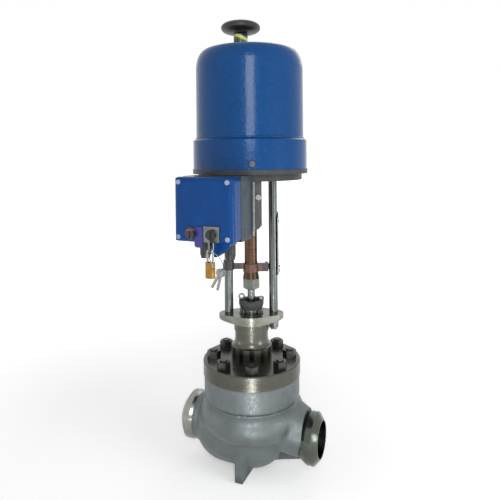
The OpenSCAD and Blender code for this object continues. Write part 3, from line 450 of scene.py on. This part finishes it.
def graphite():
    """Grey packing rings with bright flecks."""
    m = Nodes("graphite", linear(40, 40, 43), 0.55, 0.0)
    m.tint(m.noise(500, 4), 0.7, 1.5)
    m.bump(m.noise(2500, 3), 0.00005, 0.7)
    return m.mat


def rubber():
    """Dull black rubber."""
    m = Nodes("rubber", linear(28, 28, 29), 0.7, 0.0)
    m.tint(m.noise(200, 4), 0.8, 1.3)
    m.bump(m.noise(1500, 3), 0.00006, 0.7)
    return m.mat


def brass():
    """Brass with brushed lines."""
    m = Nodes("lock_brass", linear(150, 116, 62), 0.3, 1.0)
    lines = m.noise(1200, 3, 0.6, m.scaled((0.05, 0.05, 1.0)))
    m.tint(m.noise(120, 4, 0.6), 0.7, 1.12)
    m.rough_by(lines, 0.22, 0.42)
    m.bump(lines, 0.00002, 0.7)
    return m.mat


def striped_sleeve():
    """Black neck with one yellow-green band that slopes across its front."""
    slope, start_z, reach = 0.42, 0.6215, 0.024
    m = Nodes("striped_sleeve", linear(24, 26, 34), 0.35, 0.0)
    axes = m.split(m.in_frame(MOTOR @ Matrix.Rotation(-MOTOR_TURN, 4, "Z")))
    height = m.math("ADD", axes["Z"], m.math("MULTIPLY", axes["X"], slope))
    along = m.math("MULTIPLY", m.math("SUBTRACT", height, start_z), 1 / reach)
    colours = [(0.0, linear(22, 26, 48)), (0.18, linear(26, 58, 22)), (0.42, linear(60, 92, 24)),
               (0.50, linear(190, 202, 96)), (0.66, linear(216, 220, 150)), (0.72, linear(24, 26, 24))]
    m.link(m.ramp(along, colours), m.bsdf.inputs["Base Color"])
    m.rough_by(m.noise(400, 3), 0.28, 0.44)
    m.bump(m.noise(1500, 2), 0.00003, 0.5)
    return m.mat


def red_topped_plastic():
    """Black selector knob, reddish on its upper side, where paler pink patches are painted glints."""
    red_from = SELECTOR_Z + 0.0045
    m = Nodes("selector_knob", linear(26, 24, 28), 0.3, 0.0, Coat_Weight=0.3, Coat_Roughness=0.15)
    cap = m.math("GREATER_THAN", m.split(m.in_frame(BOX))["Z"], red_from)
    base = m.mix(m.noise(300, 3), linear(20, 19, 22), linear(36, 32, 36))
    # The upper side's own reddish colour, mixed with paler pink patches that stand in for glints: partly
    # painted highlight.
    red_and_glints = m.mix(m.noise(200, 3), linear(92, 44, 44), linear(140, 92, 86))
    m.link(m.mix(cap, base, red_and_glints), m.bsdf.inputs["Base Color"])
    m.bump(m.noise(1600, 2), 0.00003, 0.5)
    return m.mat


def arm_paint():
    """Dark bar with a hub browned by the bronze spindle's oil."""
    hub_r, fade = 0.0165, 0.002
    m = Nodes("arm_paint", linear(48, 46, 46), 0.4, 0.25)
    from_axis = m.length(m.scaled((1, 1, 0), m.in_frame(HEAD)))
    hub = m.ramp(from_axis, [(hub_r, 1.0), (hub_r + fade, 0.0)])
    dark = m.mix(m.noise(90, 4), linear(34, 34, 36), linear(62, 58, 58))
    brown = m.mix(m.noise(120, 5, 0.6), linear(66, 46, 38), linear(108, 74, 58))
    m.link(m.mix(hub, dark, brown), m.bsdf.inputs["Base Color"])
    m.rough_by(m.noise(240, 4), 0.3, 0.5)
    m.bump(m.noise(900, 3, 0.6), 0.00006, 0.7)
    return m.mat


def bracket_sheet():
    """Black painted sheet, with a painted highlight: the cut edge beside the box is coloured pale grey."""
    front_y, side_x = -0.0885, 0.0032
    m = Nodes("bracket_sheet", linear(34, 36, 38), 0.38, 0.0, Coat_Weight=0.2, Coat_Roughness=0.3)
    axes = m.split(m.in_frame(HEAD))
    edge = m.math("MULTIPLY", m.math("LESS_THAN", axes["Y"], front_y),
                  m.math("GREATER_THAN", axes["X"], side_x))
    paint = m.mix(m.noise(60, 5, 0.6), linear(26, 27, 29), linear(46, 48, 50))
    # Painted highlight: pale grey on the cut edge, standing in for the light it catches.
    pale_edge_highlight = m.mix(m.noise(160, 5, 0.6), linear(84, 90, 92), linear(150, 158, 158))
    m.link(m.mix(edge, paint, pale_edge_highlight), m.bsdf.inputs["Base Color"])
    m.rough_by(m.noise(240, 4), 0.28, 0.5)
    m.bump(m.noise(700, 3, 0.6), 0.00008, 0.8)
    return m.mat


MATERIALS = {
    "arm_paint": arm_paint(),
    "bracket_sheet": bracket_sheet(),
    "cast_paint": cast_paint(),
    "machined": turned_steel("machined", linear(92, 92, 85), STEM),
    "yoke_steel": plain_steel("yoke_steel", linear(128, 130, 121), 0.26),
    "dull_steel": plain_steel("dull_steel", linear(76, 78, 76), 0.34, 140),
    "stainless": plain_steel("stainless", linear(116, 122, 117), 0.24, 90),
    "pillar_steel": drawn_steel("pillar_steel", linear(96, 100, 98), 0.18),
    "graphite": graphite(),
    "bronze": bronze(),
    "blue_paint": hammered_blue(),
    "box_blue": box_paint(),
    "dark_paint": dark_paint("dark_paint", linear(58, 60, 62)),
    "housing_grey": dark_paint("housing_grey", linear(50, 60, 67), 0.4),
    "nut_steel": plain_steel("nut_steel", linear(112, 116, 110), 0.34, 120),
    # Painted highlight: a pale bluish matt paint for the cover screws, standing in for their bright glints.
    "screw_glint_paint": dark_paint("screw_glint_paint", linear(140, 156, 182), 0.3),
    "black_plastic": plastic("black_plastic", linear(26, 27, 29)),
    "rubber": rubber(),
    "zinc": plain_steel("zinc", linear(118, 122, 120), 0.28, 120),
    "motor_grey": plain_steel("motor_grey", linear(130, 132, 134), 0.5, 50),
    "scale_white": plain_steel("scale_white", linear(150, 152, 148), 0.4, 60),
    "pointer_red": dark_paint("pointer_red", linear(150, 40, 30), 0.4),
    "tab_blue": plastic("tab_blue", linear(42, 44, 124), 0.25),
    "lock_brass": brass(),
    "nickel": plain_steel("nickel", linear(140, 142, 140), 0.18, 200),
    "striped_sleeve": striped_sleeve(),
    "selector_knob": red_topped_plastic(),
    # Two copies of the same turned steel: the inlet's is lighter as painted light, for the light its
    # leftward face catches.
    "weld_in_lit": turned_steel("weld_in_lit", linear(146, 149, 142), ALONG_PIPE, 0.18),
    "weld_out": turned_steel("weld_out", linear(92, 98, 90), ALONG_PIPE, 0.18),
}

# Pieces whose look differs from the material slot in the record
OTHER_LOOK = {
    "box_bracket": "bracket_sheet",
    "box_housing": "housing_grey",
    "coupling_nut": "nut_steel",
    # The cover screws take the pale paint as painted glints.
    "cover_screws": "screw_glint_paint",
    "hand_sleeve": "striped_sleeve",
    # The hood screws take the dark dull steel, partly as painted shade for the pockets they sit in.
    "hood_screws": "dull_steel",
    "left_knob": "selector_knob",
    "pillars": "pillar_steel",
    "travel_arm": "arm_paint",
    "yoke_plate": "yoke_steel",
}
for entry in frame["record"]["subparts"]:
    look = MATERIALS[OTHER_LOOK.get(entry["node"], entry["material_slot"])]
    obj = nodes[entry["node"]]
    obj.data.materials.clear()
    obj.data.materials.append(look)


# Mesh helpers: their sizes are millimetres

def to_mesh(bm, name):
    mesh = bpy.data.meshes.new(name)
    bm.to_mesh(mesh)
    bm.free()
    return mesh


def placed(mesh, name):
    obj = bpy.data.objects.new(name, mesh)
    bpy.context.scene.collection.objects.link(obj)
    return obj


def dress(obj, material):
    """Gives a piece of the fixed body its look."""
    obj.data.materials.clear()
    obj.data.materials.append(MATERIALS[material])
    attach(obj, ROOT)


def smooth_by_angle(mesh, degrees):
    mesh.polygons.foreach_set("use_smooth", [True] * len(mesh.polygons))
    mesh.set_sharp_from_angle(angle=math.radians(degrees))


def lathe(profile, matrix, segments=96, closed=False):
    """Revolves (radius, height) points about the frame's Z axis; closed joins the last to the first."""
    bm = bmesh.new()
    angles = [2 * math.pi * i / segments for i in range(segments)]
    rings = []
    for r, z in profile:
        around = [(r / 1000 * math.cos(a), r / 1000 * math.sin(a)) for a in angles] if r else [(0, 0)]
        rings.append([bm.verts.new(matrix @ Vector((x, y, z / 1000))) for x, y in around])
    pairs = list(zip(rings, rings[1:]))
    if closed:
        pairs.append((rings[-1], rings[0]))
    for low, high in pairs:
        for i in range(segments):
            j = (i + 1) % segments
            quad = [low[i % len(low)], low[j % len(low)], high[j % len(high)], high[i % len(high)]]
            face = list(dict.fromkeys(quad))
            if len(face) > 2:
                bm.faces.new(face)
    bmesh.ops.recalc_face_normals(bm, faces=bm.faces)
    return bm


def arc(middle, radius, start, end, steps):
    """Points of an arc between two angles in degrees."""
    angles = [math.radians(start + (end - start) * i / steps) for i in range(steps + 1)]
    return [(middle[0] + radius * math.cos(a), middle[1] + radius * math.sin(a)) for a in angles]


def pipe_arc(x, radius, start, end, steps):
    """The same for a form along the pipe, as (radius, x) points."""
    return [(r, along) for along, r in arc((x, 0), radius, start, end, steps)]


def taper(p, q, r1, r2):
    """A closed cone from p to q."""
    p, q = Vector(mm(*p)), Vector(mm(*q))
    turn = (q - p).to_track_quat("Z", "Y").to_matrix().to_4x4()
    length = (q - p).length * 1000
    return lathe([(0, 0), (r1, 0), (r2, length), (0, length)], STEM @ Matrix.Translation(p) @ turn, 64)


def block(low, high):
    """A box between two corners, from the stem axis."""
    bm = bmesh.new()
    bmesh.ops.create_cube(bm, size=1)
    low, high = Vector(mm(*low)), Vector(mm(*high))
    for v in bm.verts:
        v.co = STEM @ Vector([lo + (c + 0.5) * (hi - lo) for lo, hi, c in zip(low, high, v.co)])
    bmesh.ops.recalc_face_normals(bm, faces=bm.faces)
    return bm


def upright(points, half):
    """A plate along the pipe, from its (x, z) outline and half its thickness."""
    bm = bmesh.new()
    sides = [[bm.verts.new(STEM @ Vector(mm(x, y, z))) for x, z in points] for y in (-half, half)]
    for side in sides:
        bm.faces.new(side)
    for i in range(len(points)):
        j = (i + 1) % len(points)
        bm.faces.new([sides[0][i], sides[0][j], sides[1][j], sides[1][i]])
    bmesh.ops.recalc_face_normals(bm, faces=bm.faces)
    return bm


def apply_modifiers(obj):
    graph = bpy.context.evaluated_depsgraph_get()
    mesh = bpy.data.meshes.new_from_object(obj.evaluated_get(graph))
    old = obj.data
    obj.modifiers.clear()
    obj.data = mesh
    bpy.data.meshes.remove(old)


def fused(parts, voxel, smooth, name):
    """One skin over several overlapping closed forms, with its creases filled and rounded."""
    whole = bmesh.new()
    for part in parts:
        mesh = to_mesh(part, name)
        whole.from_mesh(mesh)
        bpy.data.meshes.remove(mesh)
    obj = placed(to_mesh(whole, name), name)
    remesh = obj.modifiers.new("skin", "REMESH")
    remesh.mode, remesh.voxel_size = "VOXEL", voxel / 1000
    apply_modifiers(obj)
    relax = obj.modifiers.new("relax", "SMOOTH")
    relax.factor, relax.iterations = 0.5, smooth
    apply_modifiers(obj)
    return obj


def cut(obj, tool):
    """Takes one form out of another and removes the tool."""
    boolean = obj.modifiers.new("cut", "BOOLEAN")
    boolean.operation, boolean.object, boolean.solver = "DIFFERENCE", tool, "EXACT"
    apply_modifiers(obj)
    mesh = tool.data
    bpy.data.objects.remove(tool)
    bpy.data.meshes.remove(mesh)


def cut_form(obj, bm, name):
    cut(obj, placed(to_mesh(bm, name), name))


# Valve body: a casting with filled creases, and bare turned weld ends, in millimetres from the stem axis

WALL = 9
BACK_X, BACK_R = -38, 58
BOWL_X, BOWL_R = 2, 59
GALLERY_X, GALLERY_Z = 12, 30
RIM_R, RIM_TOP = 76.5, 89
SEAT_R, SEAT_Z = 31, 30
CAGE_R = 38.6
CASTING_START, CASTING_END = -93, 92
FOOT_Z = -62
WELD_FACE = 115
BORE_R = 26.25
FAR = 140  # past the casting on every side
WIDE = 120


def outer_form():
    """The belly, the lower bowl, the outlet's cone, the foot and the rib, fused into one skin."""
    belly = [(0, 0)] + arc((55, 28), 28, -90, 62, 24) + [(RIM_R, 53), (RIM_R, RIM_TOP + 3), (0, RIM_TOP + 3)]
    bowl = [(0, CASTING_START - 4), (35.5, CASTING_START - 4), (35.2, CASTING_START)]
    bowl += pipe_arc(BACK_X, BACK_R, 137, 92, 10) + pipe_arc(BOWL_X, BOWL_R, 88, 0, 20)
    rib = [(40, -20), (40, -46), (56, -42), (93, -33), (93, -20)]
    forms = [lathe(belly, STEM), lathe(bowl, ALONG_PIPE),
             taper((25, 0, 27), (CASTING_END + 0.2, 0, 3), 48, 34.3),
             block((-7, -57, FOOT_Z), (7, 57, 0)), upright(rib, 5)]
    return fused(forms, 1.9, 9, "casting")


def gallery():
    """The room round the cage and its way to the outlet."""
    room = [(0, 12)] + arc((34, GALLERY_Z), 18, -90, 90, 12) + [(0, 48)]
    place = STEM @ Matrix.Translation(mm(GALLERY_X, 0, 0))
    return fused([lathe(room, place), taper((30, 0, 27), (99, 0, 0.5), 24, 25)], 3, 3, "chamber")


def lower_way():
    """The way from the inlet under the seat, one wall inside the bowl."""
    way = [(0, -87)] + pipe_arc(BACK_X, BACK_R - WALL, 165, 92, 8)
    way += pipe_arc(BOWL_X, BOWL_R - WALL, 88, 5, 12) + [(0, 52)]
    lower = placed(to_mesh(lathe(way, ALONG_PIPE), "lower"), "lower")
    cut_form(lower, block((-48, -90, -3), (90, 90, 90)), "roof")
    cut_form(lower, block((-120, -90, 24), (90, 90, 90)), "ceiling")
    return lower


def make_casting():
    casting = outer_form()
    cut(casting, gallery())
    cut(casting, lower_way())
    inlet_r = BORE_R + 0.15
    cut_form(casting, lathe([(0, -110), (inlet_r, -110), (inlet_r, -60), (0, -60)], ALONG_PIPE), "in")
    trim = [(0, -10), (SEAT_R, -10), (SEAT_R, SEAT_Z), (CAGE_R, SEAT_Z), (CAGE_R, 120), (0, 120)]
    cut_form(casting, lathe(trim, STEM), "trim")
    cut_form(casting, block((-FAR, -WIDE, RIM_TOP), (FAR, WIDE, FAR)), "top")
    cut_form(casting, block((-FAR, -WIDE, -FAR), (CASTING_START, WIDE, FAR)), "left")
    cut_form(casting, block((CASTING_END, -WIDE, -FAR), (FAR, WIDE, FAR)), "right")
    smooth_by_angle(casting.data, 40)
    dress(casting, "cast_paint")
    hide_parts("valve_body")


def make_weld_end(name, look, side, land_r, land_x):
    """Turned ring with a bevel for the weld; it starts where the casting ends."""
    profile = [(BORE_R + 0.05, land_x), (land_r, land_x), (37.8, 96.9), (38, 97.4), (38, 106.9),
               (37.7, 107.4), (30.4, 113.0), (30.1, 113.3), (27.85, WELD_FACE), (BORE_R, WELD_FACE),
               (BORE_R, 93)]
    bm = lathe([(r, side * x) for r, x in profile], ALONG_PIPE, 128, closed=True)
    ring = placed(to_mesh(bm, name), name)
    dress(ring, look)
    smooth_by_angle(ring.data, 22)


make_casting()
# The inlet's ring takes the lighter copy of the turned steel, as painted light; the outlet's ring takes the
# darker copy.
make_weld_end("weld_end_in", "weld_in_lit", -1, 35.1, 92.0)
make_weld_end("weld_end_out", "weld_out", 1, 33.4, 89.2)
